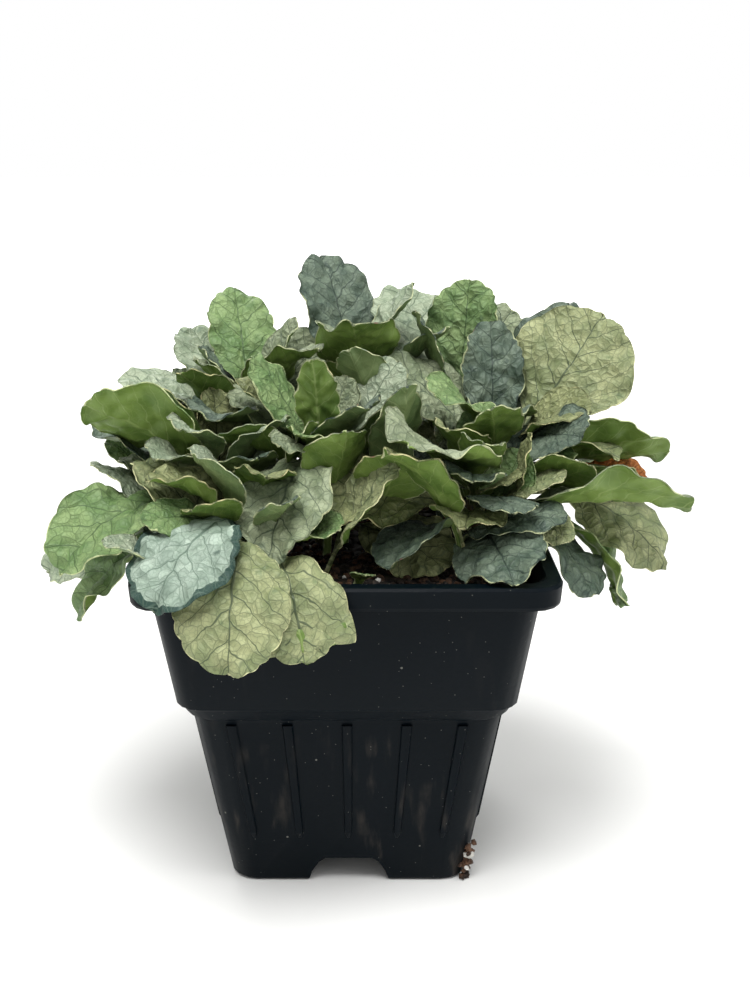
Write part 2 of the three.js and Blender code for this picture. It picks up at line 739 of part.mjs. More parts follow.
// Close a settled grid into a thin solid, thick at the stalk, fine at the edges.
function leafSolid(grid) {
  const points = [];
  const faces = [];
  const ringSize = 8;
  const at = (k, j) => grid[Math.min(Math.max(k, 0), ROWS - 1) * COLS + j];
  for (let k = 0; k < ROWS; k += 1) {
    const along = new THREE.Vector3().subVectors(at(k + 1, 2), at(k - 1, 2));
    const upper = [];
    const lower = [];
    for (let j = 0; j < COLS; j += 1) {
      const across = new THREE.Vector3();
      across.subVectors(at(k, Math.min(j + 1, COLS - 1)), at(k, Math.max(j - 1, 0)));
      const normal = new THREE.Vector3().crossVectors(across, along).normalize();
      const stalky = Math.max(0, 1 - k / (STALK_ROWS.length + 1));
      const thick = lerp(LEAF_THICK, PETIOLE_THICK, stalky) / 2;
      upper.push(at(k, j).clone().addScaledVector(normal, thick));
      lower.push(at(k, j).clone().addScaledVector(normal, -thick));
    }
    const ring = [upper[2], upper[3], at(k, 4), lower[3], lower[2], lower[1], at(k, 0), upper[1]];
    points.push(...ring.map((p) => [p.x, p.y, p.z]));
  }
  const back = grid[2].clone().sub(grid[COLS + 2]).normalize();
  const start = grid[2].clone().addScaledVector(back, 0.3);
  start.lerp(new THREE.Vector3(...points[0]), 0.35);
  points.push([start.x, start.y, start.z]);
  const tip = grid[ROWS * COLS];
  points.push([tip.x, tip.y, tip.z]);
  const base = points.length - 2;
  const end = points.length - 1;
  const last = (ROWS - 1) * ringSize;
  for (let j = 0; j < ringSize; j += 1) {
    const next = (j + 1) % ringSize;
    faces.push([base, next, j], [end, last + j, last + next]);
    for (let k = 0; k + 1 < ROWS; k += 1) {
      const a = k * ringSize + j;
      const b = k * ringSize + next;
      faces.push([a, b, b + ringSize], [a, b + ringSize, a + ringSize]);
    }
  }
  return solidFrom(points, faces);
}

const LEAF_TINTS = [0x8f9d78, 0x9aa57e, 0x7f9070, 0xa3ab7c, 0x6f8a62];

function buildPlant() {
  const group = new THREE.Group();
  group.name = 'potted_bugleweed';
  group.add(nurseryPot());
  group.add(pottingSoil());
  group.add(rootstock());
  growLeaves().forEach((leaf, index) => {
    const tint = LEAF_TINTS[index % LEAF_TINTS.length];
    group.add(meshFrom(leafSolid(leaf.now), leaf.name, tint, 0.6));
  });
  return group;
}

export default buildPlant();
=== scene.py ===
import math
import random

import bmesh
import bpy
import numpy as np
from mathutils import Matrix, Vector, noise
from mathutils.bvhtree import BVHTree


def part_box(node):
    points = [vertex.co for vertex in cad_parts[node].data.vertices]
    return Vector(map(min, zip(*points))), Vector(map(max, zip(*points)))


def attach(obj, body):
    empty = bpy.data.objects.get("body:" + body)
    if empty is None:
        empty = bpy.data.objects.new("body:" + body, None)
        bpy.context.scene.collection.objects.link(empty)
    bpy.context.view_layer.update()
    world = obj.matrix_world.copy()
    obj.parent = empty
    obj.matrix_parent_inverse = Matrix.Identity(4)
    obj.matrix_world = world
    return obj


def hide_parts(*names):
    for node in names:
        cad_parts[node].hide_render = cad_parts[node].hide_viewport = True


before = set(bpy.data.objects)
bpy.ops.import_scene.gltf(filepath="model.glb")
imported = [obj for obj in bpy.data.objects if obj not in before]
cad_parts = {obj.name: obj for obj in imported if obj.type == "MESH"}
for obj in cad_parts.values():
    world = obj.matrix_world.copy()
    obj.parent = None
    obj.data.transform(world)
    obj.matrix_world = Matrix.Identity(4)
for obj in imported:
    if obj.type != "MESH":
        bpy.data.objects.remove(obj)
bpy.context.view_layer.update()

# ---------------------------------------------------------------------------
# Camera: a hand-held view from just in front of the pot, looking a little
# down over the rim so that the soil shows behind it.
MM = 0.001
camera_aim = Vector((7.9, 0, 109.6)) * MM
camera_reach = 368 * MM
camera_tilt = math.radians(16)
lens = bpy.data.cameras.new("camera")
lens.lens = 43.2
lens.clip_start = 0.02
camera = bpy.data.objects.new("camera", lens)
camera_way = Vector((0, -math.cos(camera_tilt), math.sin(camera_tilt)))
camera.location = camera_aim + camera_way * camera_reach
camera.rotation_euler = (math.radians(90) - camera_tilt, 0, 0)
bpy.context.scene.collection.objects.link(camera)
bpy.context.scene.camera = camera


# ---------------------------------------------------------------------------
# Studio: a pale matt floor that glows white far off, so that no horizon
# shows, and soft daylight: a wide panel above and in front, weaker ones on the
# right and behind, and an even sky.
def shade(red, green, blue):
    """A paint-chart colour, 0 to 255, as the linear colour a shader takes."""
    chart = np.array([red, green, blue]) / 255
    linear = np.where(chart <= 0.04045, chart / 12.92, ((chart + 0.055) / 1.055) ** 2.4)
    return (*[float(v) for v in linear], 1.0)


def place(tree, kind, **settings):
    made = tree.nodes.new("ShaderNode" + kind)
    for name, value in settings.items():
        setattr(made, name, value)
    return made


def feed(tree, made, socket, source):
    if isinstance(source, bpy.types.NodeSocket):
        tree.links.new(source, made.inputs[socket])
    else:
        made.inputs[socket].default_value = source


def feed_all(tree, made, sources):
    for socket, source in sources.items():
        feed(tree, made, socket, source)


def reckon(tree, operation, *terms):
    """One sum worked out on its terms, which are sockets or numbers."""
    made = place(tree, "Math", operation=operation)
    for index, term in enumerate(terms):
        feed(tree, made, index, term)
    return made.outputs[0]


def ramp_between(tree, value, low, high, start=0.0, end=1.0):
    """Eases from start to end as value goes from low to high."""
    made = place(tree, "MapRange", interpolation_type="SMOOTHSTEP")
    feed_all(tree, made, {
        "Value": value, "From Min": low, "From Max": high, "To Min": start, "To Max": end
    })
    return made.outputs["Result"]


def mix_colours(tree, share, first, second):
    """The first colour where share is 0, the second where it is 1."""
    made = place(tree, "Mix", data_type="RGBA")
    feed_all(tree, made, {0: share, 6: first, 7: second})
    return made.outputs[2]


def soft_noise(tree, where, scale, detail=2.0, roughness=0.5):
    """Cloudy noise over the coordinates: outputs 'Fac' and 'Color'."""
    made = place(tree, "TexNoise")
    feed_all(tree, made, {
        "Vector": where, "Scale": scale, "Detail": detail, "Roughness": roughness
    })
    return made.outputs


def new_material(name):
    material = bpy.data.materials.new(name)
    material.use_nodes = True
    tree = material.node_tree
    return material, tree, tree.nodes["Principled BSDF"]


def bump_into(tree, surface, height, strength, reach):
    made = place(tree, "Bump")
    feed_all(tree, made, {"Strength": strength, "Distance": reach, "Height": height})
    feed(tree, surface, "Normal", made.outputs["Normal"])


def into_scene(name, mesh, materials):
    for material in materials:
        mesh.materials.append(material)
    made = bpy.data.objects.new(name, mesh)
    bpy.context.scene.collection.objects.link(made)
    return made


def link_mesh(name, points, faces, materials):
    mesh = bpy.data.meshes.new(name)
    mesh.from_pydata(points, [], faces)
    return into_scene(name, mesh, materials)


floor_material, tree, surface = new_material("floor_matt")
far_off = place(tree, "VectorMath", operation="LENGTH")
feed(tree, far_off, 0, place(tree, "TexCoord").outputs["Object"])
haze = ramp_between(tree, far_off.outputs["Value"], 0.3, 1.4)
feed_all(tree, surface, {
    "Base Color": shade(240, 240, 238), "Emission Color": (1, 1, 1, 1), "Emission Strength": haze,
    "Roughness": 0.9, "Specular IOR Level": 0.0,
})
floor_half = 12.0
floor_corners = [
    (-floor_half, -floor_half, 0), (floor_half, -floor_half, 0),
    (floor_half, floor_half, 0), (-floor_half, floor_half, 0),
]
floor = link_mesh("floor", floor_corners, [(0, 1, 2, 3)], [floor_material])

for name, spot, power in (
    ("light_above", (-0.1, -0.3, 1.2), 17.0),
    ("light_right", (1.0, -0.35, 0.75), 4.0),
    ("light_behind", (-0.3, 1.0, 0.7), 5.0),
):
    panel = bpy.data.lights.new(name, "AREA")
    panel.size = 0.7
    panel.energy = power
    lamp = bpy.data.objects.new(name, panel)
    lamp.location = spot
    aim = Vector((0, 0, 0.1)) - Vector(spot)
    lamp.rotation_euler = aim.to_track_quat("-Z", "Y").to_euler()
    bpy.context.scene.collection.objects.link(lamp)

# The sky is white where the camera sees it, and dimmer where it lights the plant.
world = bpy.data.worlds.new("sky")
world.use_nodes = True
tree = world.node_tree
sky = tree.nodes["Background"]
sky_seen = place(tree, "LightPath").outputs["Is Camera Ray"]
feed(tree, sky, "Strength", ramp_between(tree, sky_seen, 0.0, 1.0, 0.55, 1.0))
feed(tree, sky, "Color", (1, 1, 1, 1))
bpy.context.scene.world = world
bpy.context.scene.view_settings.view_transform = "Standard"


# ---------------------------------------------------------------------------
# Nursery pot: thin black moulded plastic, square, with a drop lip, a stepped
# shoulder, shallow ribs and a raised floor; dusty, and smeared with potting mix.
def joined_mesh(node):
    """A CAD node's surface with its corners joined, as an editable copy."""
    shape = bmesh.new()
    shape.from_mesh(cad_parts[node].data)
    bmesh.ops.remove_doubles(shape, verts=shape.verts, dist=0.02 * MM)
    return shape


def piece_from(shape, name, materials):
    mesh = bpy.data.meshes.new(name)
    shape.to_mesh(mesh)
    shape.free()
    for face in mesh.polygons:
        face.use_smooth = True
    return into_scene(name, mesh, materials)


def input_sockets(group, defaults):
    for name, default in defaults.items():
        socket = group.interface.new_socket(name, in_out="INPUT", socket_type="NodeSocketFloat")
        socket.default_value = default


def specks_group():
    """Dust and grit: round flecks of one size; 'Share' of them are kept."""
    group = bpy.data.node_groups.new("specks", "ShaderNodeTree")
    input_sockets(group, {"Scale": 200.0, "Size": 0.12, "Share": 0.5})
    group.interface.new_socket("Mask", in_out="OUTPUT", socket_type="NodeSocketFloat")
    given = group.nodes.new("NodeGroupInput")
    result = group.nodes.new("NodeGroupOutput")
    where = place(group, "TexCoord").outputs["Object"]
    cells = place(group, "TexVoronoi")
    feed_all(group, cells, {"Vector": where, "Scale": given.outputs["Scale"]})
    round_fleck = reckon(group, "LESS_THAN", cells.outputs["Distance"], given.outputs["Size"])
    pick = place(group, "SeparateColor")
    feed(group, pick, "Color", cells.outputs["Color"])
    kept = reckon(group, "LESS_THAN", pick.outputs[0], given.outputs["Share"])
    feed(group, result, "Mask", reckon(group, "MULTIPLY", round_fleck, kept))
    return group


specks = specks_group()


def speckled(tree, scale, size, share):
    made = place(tree, "Group", node_tree=specks)
    feed_all(tree, made, {"Scale": scale, "Size": size, "Share": share})
    return made.outputs["Mask"]


pot_plastic, tree, surface = new_material("pot_black_plastic")
where = place(tree, "TexCoord").outputs["Object"]
cloud = soft_noise(tree, where, 35.0, 5.0)["Fac"]
streak_map = place(tree, "Mapping")
feed_all(tree, streak_map, {"Vector": where, "Scale": (1.0, 1.0, 0.12)})
streaks = soft_noise(tree, streak_map.outputs["Vector"], 260.0, 4.0)["Fac"]
heights = place(tree, "SeparateXYZ")
feed(tree, heights, "Vector", where)
low_down = ramp_between(tree, heights.outputs["Z"], 0.07, 0.02)
plastic = mix_colours(tree, cloud, shade(1, 7, 12), shade(6, 14, 20))
smear = ramp_between(tree, streaks, 0.52, 0.74)
smear = reckon(tree, "MULTIPLY", smear, ramp_between(tree, cloud, 0.48, 0.66))
smear = reckon(tree, "MULTIPLY", smear, reckon(tree, "MULTIPLY_ADD", low_down, 0.85, 0.15))
soiled = mix_colours(tree, smear, plastic, shade(58, 54, 50))
dust = reckon(tree, "MULTIPLY", speckled(tree, 900.0, 0.14, 0.10), 0.28)
grit = reckon(tree, "MULTIPLY", speckled(tree, 330.0, 0.11, 0.03), 0.4)
dusted = mix_colours(tree, reckon(tree, "MAXIMUM", dust, grit), soiled, shade(150, 150, 142))
feed(tree, surface, "Base Color", dusted)
feed(tree, surface, "Roughness", ramp_between(tree, cloud, 0.3, 0.7, 0.3, 0.48))
feed(tree, surface, "Specular IOR Level", 0.08)
orange_peel = soft_noise(tree, where, 700.0)["Fac"]
relief = reckon(tree, "MULTIPLY_ADD", smear, 0.8, orange_peel)
bump_into(tree, surface, relief, 0.25, 0.15 * MM)

pot_shape = joined_mesh("nursery_pot")
bmesh.ops.dissolve_limit(
    pot_shape, angle_limit=math.radians(1), verts=pot_shape.verts, edges=pot_shape.edges
)
pot = piece_from(pot_shape, "pot", [pot_plastic])
edge_angle = math.radians(32)
pot.data.set_sharp_from_angle(angle=edge_angle)
moulded_edges = pot.modifiers.new("moulded_edges", "BEVEL")
moulded_edges.width = 0.35 * MM
moulded_edges.segments = 2
moulded_edges.limit_method = "ANGLE"
moulded_edges.angle_limit = edge_angle
moulded_edges.harden_normals = True
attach(pot, "root")
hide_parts("nursery_pot")


# ---------------------------------------------------------------------------
# Potting mix: dark damp peat filling the pot, its top loose and lumpy with
# bark chips and a few white grains of perlite.
def soil_look(name, dark, light):
    material, tree, surface = new_material(name)
    crumbs = soft_noise(tree, place(tree, "TexCoord").outputs["Object"], 420.0, 8.0)["Fac"]
    colour = mix_colours(tree, ramp_between(tree, crumbs, 0.35, 0.7), dark, light)
    grains = reckon(tree, "MULTIPLY", speckled(tree, 500.0, 0.2, 0.04), 0.6)
    feed(tree, surface, "Base Color", mix_colours(tree, grains, colour, shade(150, 140, 125)))
    feed(tree, surface, "Roughness", ramp_between(tree, crumbs, 0.3, 0.7, 0.95, 0.7))
    bump_into(tree, surface, crumbs, 0.9, 0.6 * MM)
    return material


peat = soil_look("peat_damp", shade(14, 11, 9), shade(52, 40, 31))
bark = soil_look("bark_chip", shade(38, 25, 17), shade(96, 66, 44))
perlite = soil_look("perlite_white", shade(188, 186, 178), shade(235, 233, 228))

soil_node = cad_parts["potting_soil"]
soil_node.data.materials.clear()
soil_node.data.materials.append(peat)
soil_shape = joined_mesh("potting_soil")
soil_tree = BVHTree.FromBMesh(soil_shape)
soil_shape.free()
soil_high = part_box("potting_soil")[1]
soil_half, soil_level = soil_high[0], soil_high[2]


def soil_top(x, y):
    """Height of the mix; it runs level over the hollows where the stems stand."""
    hit = soil_tree.ray_cast(Vector((x, y, 0.2)), Vector((0, 0, -1)))[0]
    hollow_depth = 6 * MM
    bridged_depth = 2.5 * MM
    if hit is None or hit.z < soil_level - hollow_depth:
        return soil_level - bridged_depth
    return hit.z


cells = 130
side_gap = 0.995
corner_squeeze = 0.055
edge_from = 0.93
points = []
for row in range(cells + 1):
    for column in range(cells + 1):
        u = 2 * column / cells - 1
        v = 2 * row / cells - 1
        squeeze = 1 - corner_squeeze * (u * v) ** 6
        x = soil_half * side_gap * u * squeeze
        y = soil_half * side_gap * v * squeeze
        lump = noise.noise(Vector((x, y, 0)) * 160) + 0.6 * noise.noise(Vector((x, y, 9)) * 420)
        edge_fall = max(0.0, max(abs(u), abs(v)) - edge_from) * 30
        points.append((x, y, soil_top(x, y) + (0.5 + 0.9 * lump - edge_fall) * MM))
faces = []
for row in range(cells):
    for column in range(cells):
        corner = row * (cells + 1) + column
        faces.append((corner, corner + 1, corner + cells + 2, corner + cells + 1))
soil_surface = link_mesh("soil_surface", points, faces, [peat])
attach(soil_surface, "root")

GOLDEN = (1 + math.sqrt(5)) / 2
CHIP_POINTS = np.array([
    (-1, GOLDEN, 0), (1, GOLDEN, 0), (-1, -GOLDEN, 0), (1, -GOLDEN, 0),
    (0, -1, GOLDEN), (0, 1, GOLDEN), (0, -1, -GOLDEN), (0, 1, -GOLDEN),
    (GOLDEN, 0, -1), (GOLDEN, 0, 1), (-GOLDEN, 0, -1), (-GOLDEN, 0, 1),
]) / math.sqrt(1 + GOLDEN ** 2)
CHIP_FACES = [
    (0, 11, 5), (0, 5, 1), (0, 1, 7), (0, 7, 10), (0, 10, 11), (1, 5, 9), (5, 11, 4),
    (11, 10, 2), (10, 7, 6), (7, 1, 8), (3, 9, 4), (3, 4, 2), (3, 2, 6), (3, 6, 8),
    (3, 8, 9), (4, 9, 5), (2, 4, 11), (6, 2, 10), (8, 6, 7), (9, 8, 1),
]
chance = np.random.default_rng(11)


def scatter_chips(name, spots, sizes, flatness, material):
    """Irregular crumbs at the spots, one joined mesh."""
    points = []
    faces = []
    for spot, size in zip(spots, sizes):
        stretch = np.array([1, chance.uniform(0.5, 0.9), chance.uniform(*flatness)]) * size
        chip = CHIP_POINTS * chance.uniform(0.75, 1.2, (len(CHIP_POINTS), 1)) * stretch
        turn = Vector(chance.normal(size=3)).to_track_quat("Z", "Y").to_matrix()
        chip = chip @ np.array(turn).T + np.array(spot)
        start = len(points)
        points.extend(chip.tolist())
        faces.extend([tuple(start + corner for corner in face) for face in CHIP_FACES])
    made = link_mesh(name, points, faces, [material])
    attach(made, "root")
    return made


def spots_on_soil(count, above):
    """Random spots on top of the mix, this many millimetres above it."""
    spots = []
    for x, y in chance.uniform(-0.95, 0.95, (count, 2)) * soil_half:
        spots.append((x, y, soil_top(x, y) + above * MM))
    return spots


for name, count, above, small, large, flatness, material in (
    ("bark_chips", 1000, 0.9, 0.5, 1.9, (0.3, 0.7), bark),
    ("peat_lumps", 800, 0.7, 0.6, 1.6, (0.6, 1.0), peat),
    ("perlite_grains", 70, 1.0, 0.5, 1.2, (0.7, 1.0), perlite),
):
    spots = spots_on_soil(count, above)
    scatter_chips(name, spots, chance.uniform(small, large, count) * MM, flatness, material)

# A little mix has stuck to the foot of the pot at the front right corner. The
# crumbs follow the corner, which leans out as it rises.
crumb_count = 46
corner_lean = 0.15
corner_spots = chance.normal(size=(crumb_count, 3)) * (0.7, 0.7, 3.4) + (34.6, -34.4, 5.5)
corner_spots[:, 2] = np.clip(corner_spots[:, 2], 0.8, 13)
corner_spots[:, 0] += corner_spots[:, 2] * corner_lean
crumb_sizes = chance.uniform(0.5, 1.5, crumb_count) * MM
scatter_chips("foot_crumbs", corner_spots * MM, crumb_sizes, (0.5, 0.9), bark)
grain_spots = np.array([(36.3, -35.4, 8.6), (35.6, -35.6, 4.2), (36.4, -34.2, 11.0)]) * MM
grain_sizes = np.array([1.9, 1.1, 0.9]) * MM
scatter_chips("foot_perlite", grain_spots, grain_sizes, (0.8, 1.0), perlite)


# ---------------------------------------------------------------------------
# Rootstock: short fleshy green crowns, each the stem of one rosette, joined by
# creeping runners half sunk in the mix.
stem_green, tree, surface = new_material("stem_green")
tint = soft_noise(tree, place(tree, "TexCoord").outputs["Object"], 150.0)["Fac"]
stem_colour = mix_colours(tree, tint, shade(62, 78, 32), shade(118, 96, 66))
feed(tree, surface, "Base Color", stem_colour)
feed(tree, surface, "Roughness", 0.55)
bump_into(tree, surface, tint, 0.4, 0.4 * MM)
stems = piece_from(joined_mesh("rootstock"), "stems_and_runners", [stem_green])
rounding = stems.modifiers.new("rounding", "SUBSURF")
rounding.levels = 2
rounding.render_levels = 2
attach(stems, "root")
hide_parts("rootstock")


# ---------------------------------------------------------------------------
# Leaf look: soft, matt, puckered between a net of sunken veins; grey-green
# blotched with dark blue-green and edged with cream above, bright green below.
# Coordinates: 'plan' runs 0 to 1 from the foot of the blade to its tip, and
# sideways on the same scale; 'margin' is the distance in from the edge in mm.
VEINS_A_LEAF = 5.6
VEIN_FORWARD = 0.75
VEIN_BEND = 0.7
VEIN_STAGGER = 0.035
NET_SCALE = 13.0


def leaf_veins_group():
    """Midrib, forward-curving side veins and the fine net between them."""
    group = bpy.data.node_groups.new("leaf_veins", "ShaderNodeTree")
    for name in ("Main", "Net", "Fine", "Cell", "Swell"):
        group.interface.new_socket(name, in_out="OUTPUT", socket_type="NodeSocketFloat")
    result = group.nodes.new("NodeGroupOutput")
    plan = place(group, "Attribute", attribute_name="plan").outputs["Vector"]
    centred = place(group, "VectorMath", operation="SUBTRACT")
    feed_all(group, centred, {0: soft_noise(group, plan, 7.0)["Color"], 1: (0.5, 0.5, 0.5)})
    bent = place(group, "VectorMath", operation="MULTIPLY_ADD")
    feed_all(group, bent, {0: centred.outputs[0], 1: (0.09, 0.09, 0.0), 2: plan})
    apart = place(group, "SeparateXYZ")
    feed(group, apart, 0, bent.outputs[0])
    straight = place(group, "SeparateXYZ")
    feed(group, straight, 0, plan)
    along = apart.outputs["X"]
    off_side = reckon(group, "ABSOLUTE", apart.outputs["Y"])
    off_rib = reckon(group, "MULTIPLY", straight.outputs["Y"], 0.6)
    off_rib = reckon(group, "MULTIPLY_ADD", apart.outputs["Y"], 0.4, off_rib)
    off_rib = reckon(group, "ABSOLUTE", off_rib)
    rib_width = ramp_between(group, along, 0.0, 1.0, 0.015, 0.005)
    rib = reckon(group, "SUBTRACT", 1.0, reckon(group, "DIVIDE", off_rib, rib_width))
    rib = ramp_between(group, rib, 0.0, 0.5)
    off_squared = reckon(group, "MULTIPLY", off_side, off_side)
    curve = reckon(group, "MULTIPLY_ADD", off_squared, -VEIN_BEND, along)
    curve = reckon(group, "MULTIPLY_ADD", off_side, -VEIN_FORWARD, curve)
    which_side = reckon(group, "SIGN", straight.outputs["Y"])
    curve = reckon(group, "MULTIPLY_ADD", which_side, VEIN_STAGGER, curve)
    step = reckon(group, "FRACT", reckon(group, "MULTIPLY_ADD", curve, VEINS_A_LEAF, 10.0))
    off_vein = reckon(group, "ABSOLUTE", reckon(group, "SUBTRACT", step, 0.5))
    off_vein = reckon(group, "MULTIPLY", off_vein, 0.18)
    side_width = ramp_between(group, off_side, 0.0, 0.38, 0.0085, 0.004)
    side = reckon(group, "SUBTRACT", 1.0, reckon(group, "DIVIDE", off_vein, side_width))
    side = ramp_between(group, side, 0.0, 0.6)
    side = reckon(group, "MULTIPLY", side, ramp_between(group, along, -0.05, 0.1))
    feed(group, result, "Main", reckon(group, "MAXIMUM", rib, side))
    for output, scale, thin in (("Net", NET_SCALE, 0.055), ("Fine", 33.0, 0.09)):
        net = place(group, "TexVoronoi", feature="DISTANCE_TO_EDGE")
        feed_all(group, net, {"Vector": bent.outputs[0], "Scale": scale})
        off_net = net.outputs["Distance"]
        feed(group, result, output, ramp_between(group, off_net, 0.0, thin, 1.0, 0.0))
        if output == "Net":
            feed(group, result, "Swell", ramp_between(group, off_net, 0.0, 0.4))
    tile = place(group, "TexVoronoi")
    feed_all(group, tile, {"Vector": bent.outputs[0], "Scale": NET_SCALE})
    tile_colour = place(group, "SeparateColor")
    feed(group, tile_colour, "Color", tile.outputs["Color"])
    feed(group, result, "Cell", ramp_between(group, tile_colour.outputs[0], 0.35, 0.95))
    return group


def leaf_patches_group():
    """Ragged areas that start at the margin and run in: 'Reach' is in mm."""
    group = bpy.data.node_groups.new("leaf_patches", "ShaderNodeTree")
    input_sockets(group, {"Reach": 1.0, "Ragged": 2.0, "Scale": 6.0, "Seed": 0.0})
    group.interface.new_socket("Mask", in_out="OUTPUT", socket_type="NodeSocketFloat")
    given = group.nodes.new("NodeGroupInput")
    result = group.nodes.new("NodeGroupOutput")
    plan = place(group, "Attribute", attribute_name="plan").outputs["Vector"]
    margin = place(group, "Attribute", attribute_name="margin").outputs["Fac"]
    seeded = place(group, "VectorMath", operation="ADD")
    feed_all(group, seeded, {0: plan, 1: given.outputs["Seed"]})
    blotch = soft_noise(group, seeded.outputs[0], given.outputs["Scale"], 3.0)["Fac"]
    swing = reckon(group, "SUBTRACT", blotch, 0.5)
    ragged = reckon(group, "MULTIPLY", given.outputs["Ragged"], 2.0)
    edge = reckon(group, "MULTIPLY_ADD", swing, ragged, given.outputs["Reach"])
    inside = reckon(group, "SUBTRACT", edge, margin)
    feed(group, result, "Mask", ramp_between(group, inside, -0.15, 0.25))
    return group


leaf_veins = leaf_veins_group()
leaf_patches = leaf_patches_group()


def patch_mask(tree, reach, ragged, scale, seed):
    made = place(tree, "Group", node_tree=leaf_patches)
    feed_all(tree, made, {"Reach": reach, "Ragged": ragged, "Scale": scale, "Seed": seed})
    return made.outputs["Mask"]


def vein_lines(tree, veins, strengths):
    """The veins together, each kind at its own strength."""
    lines = 0.0
    for kind, strength in strengths.items():
        faint = reckon(tree, "MULTIPLY", veins.outputs[kind], strength)
        lines = reckon(tree, "MAXIMUM", lines, faint)
    return lines


def leaf_upper(name, ground, light, vein, dark, cream, dark_reach, cream_reach, blotch):
    """Upper side. Reaches in mm: how far dark and cream come in from the edge."""
    material, tree, surface = new_material("leaf_upper_" + name)
    veins = place(tree, "Group", node_tree=leaf_veins)
    plan = place(tree, "Attribute", attribute_name="plan").outputs["Vector"]
    cloud = soft_noise(tree, plan, 5.0, 6.0, 0.62)["Fac"]
    colour = mix_colours(tree, ramp_between(tree, cloud, 0.36, 0.64), ground, light)
    islands = soft_noise(tree, plan, 9.0, 5.0)["Fac"]
    spread = ramp_between(tree, islands, 0.62 - blotch, 0.70 - blotch, 0.0, 0.7)
    colour = mix_colours(tree, spread, colour, dark)
    panel = reckon(tree, "MULTIPLY", veins.outputs["Cell"], 0.22)
    colour = mix_colours(tree, panel, colour, dark)
    colour = mix_colours(tree, patch_mask(tree, dark_reach, 3.2, 7.0, 3.0), colour, dark)
    lines = vein_lines(tree, veins, {"Net": 0.5, "Fine": 0.3, "Main": 0.85})
    colour = mix_colours(tree, lines, colour, vein)
    colour = mix_colours(tree, patch_mask(tree, cream_reach, 1.1, 8.0, 8.0), colour, cream)
    flush = reckon(tree, "MULTIPLY", patch_mask(tree, -0.9, 2.4, 9.0, 15.0), 0.6)
    colour = mix_colours(tree, flush, colour, shade(142, 66, 78))
    feed(tree, surface, "Base Color", colour)
    feed(tree, surface, "Roughness", ramp_between(tree, cloud, 0.3, 0.7, 0.46, 0.62))
    feed(tree, surface, "Specular IOR Level", 0.3)
    sunken = reckon(tree, "MULTIPLY", lines, -0.8)
    quilt = reckon(tree, "MULTIPLY_ADD", veins.outputs["Swell"], 1.1, sunken)
    bump_into(tree, surface, quilt, 0.7, 0.45 * MM)
    return material


def leaf_under(name, green, light, vein, cream):
    """Under side: plainer, with raised veins."""
    material, tree, surface = new_material("leaf_under_" + name)
    veins = place(tree, "Group", node_tree=leaf_veins)
    plan = place(tree, "Attribute", attribute_name="plan").outputs["Vector"]
    cloud = soft_noise(tree, plan, 3.0, 3.0)["Fac"]
    colour = mix_colours(tree, ramp_between(tree, cloud, 0.35, 0.65), green, light)
    lines = vein_lines(tree, veins, {"Main": 0.6, "Net": 0.22})
    colour = mix_colours(tree, lines, colour, vein)
    colour = mix_colours(tree, patch_mask(tree, 0.25, 0.9, 8.0, 8.0), colour, cream)
    feed(tree, surface, "Base Color", colour)
    feed(tree, surface, "Roughness", 0.5)
    feed(tree, surface, "Specular IOR Level", 0.35)
    bump_into(tree, surface, lines, 0.5, 0.35 * MM)
    return material


CREAM = (190, 196, 152)
UNDER = {
    "green": leaf_under(
        "green", shade(84, 110, 46), shade(114, 138, 66), shade(136, 154, 92), shade(*CREAM)
    ),
    "grey": leaf_under(
        "grey", shade(92, 114, 70), shade(118, 136, 88), shade(140, 154, 106), shade(*CREAM)
    ),
}
# Each look: ground, light, vein, dark and cream colours, how far dark and cream
# reach in, how blotched it is, and the colour of its under side.
LEAF_LOOKS = {}
for name, ground, light, vein, dark, cream, dark_reach, cream_reach, blotch, under in (
    ("sage", (118, 130, 100), (154, 163, 132), (66, 80, 62), (84, 98, 78), CREAM,
     -1.6, 0.0, 0.0, "green"),
    ("silver", (136, 154, 138), (168, 184, 168), (92, 112, 98), (44, 68, 60), CREAM,
     2.3, -1.6, -0.05, "grey"),
    ("olive", (114, 122, 80), (148, 153, 108), (66, 76, 50), (82, 94, 62), (196, 190, 140),
     -1.8, 0.0, 0.0, "green"),
    ("yellow", (122, 132, 92), (158, 163, 120), (70, 82, 60), (100, 116, 80), (206, 206, 158),
     -1.6, 0.1, -0.02, "green"),
    ("blue", (78, 94, 80), (108, 122, 104), (44, 58, 50), (46, 62, 54), CREAM,
     -0.2, 0.0, 0.02, "grey"),
    ("pale", (138, 152, 126), (170, 180, 154), (86, 102, 82), (96, 114, 94), CREAM,
     -1.4, 0.1, 0.0, "grey"),
    ("fresh", (98, 126, 76), (132, 154, 102), (68, 90, 54), (74, 98, 64), (190, 200, 148),
     -1.8, 0.1, -0.02, "green"),
    ("withered", (186, 104, 44), (206, 132, 70), (120, 68, 34), (140, 84, 46), (196, 150, 96),
     -1.8, -0.5, 0.0, "grey"),
):
    upper = leaf_upper(
        name, shade(*ground), shade(*light), shade(*vein), shade(*dark), shade(*cream),
        dark_reach, cream_reach, blotch,
    )
    LEAF_LOOKS[name] = (upper, UNDER[under])


# ---------------------------------------------------------------------------
# Leaves: one spoon-shaped blade on a winged stalk, scalloped and ruffled round
# the edge. Each follows the sheet its CAD leaf settled into.
ACROSS = np.array([-1, -0.55, 0, 0.55, 1.0])
BLADE_FROM = 2.3


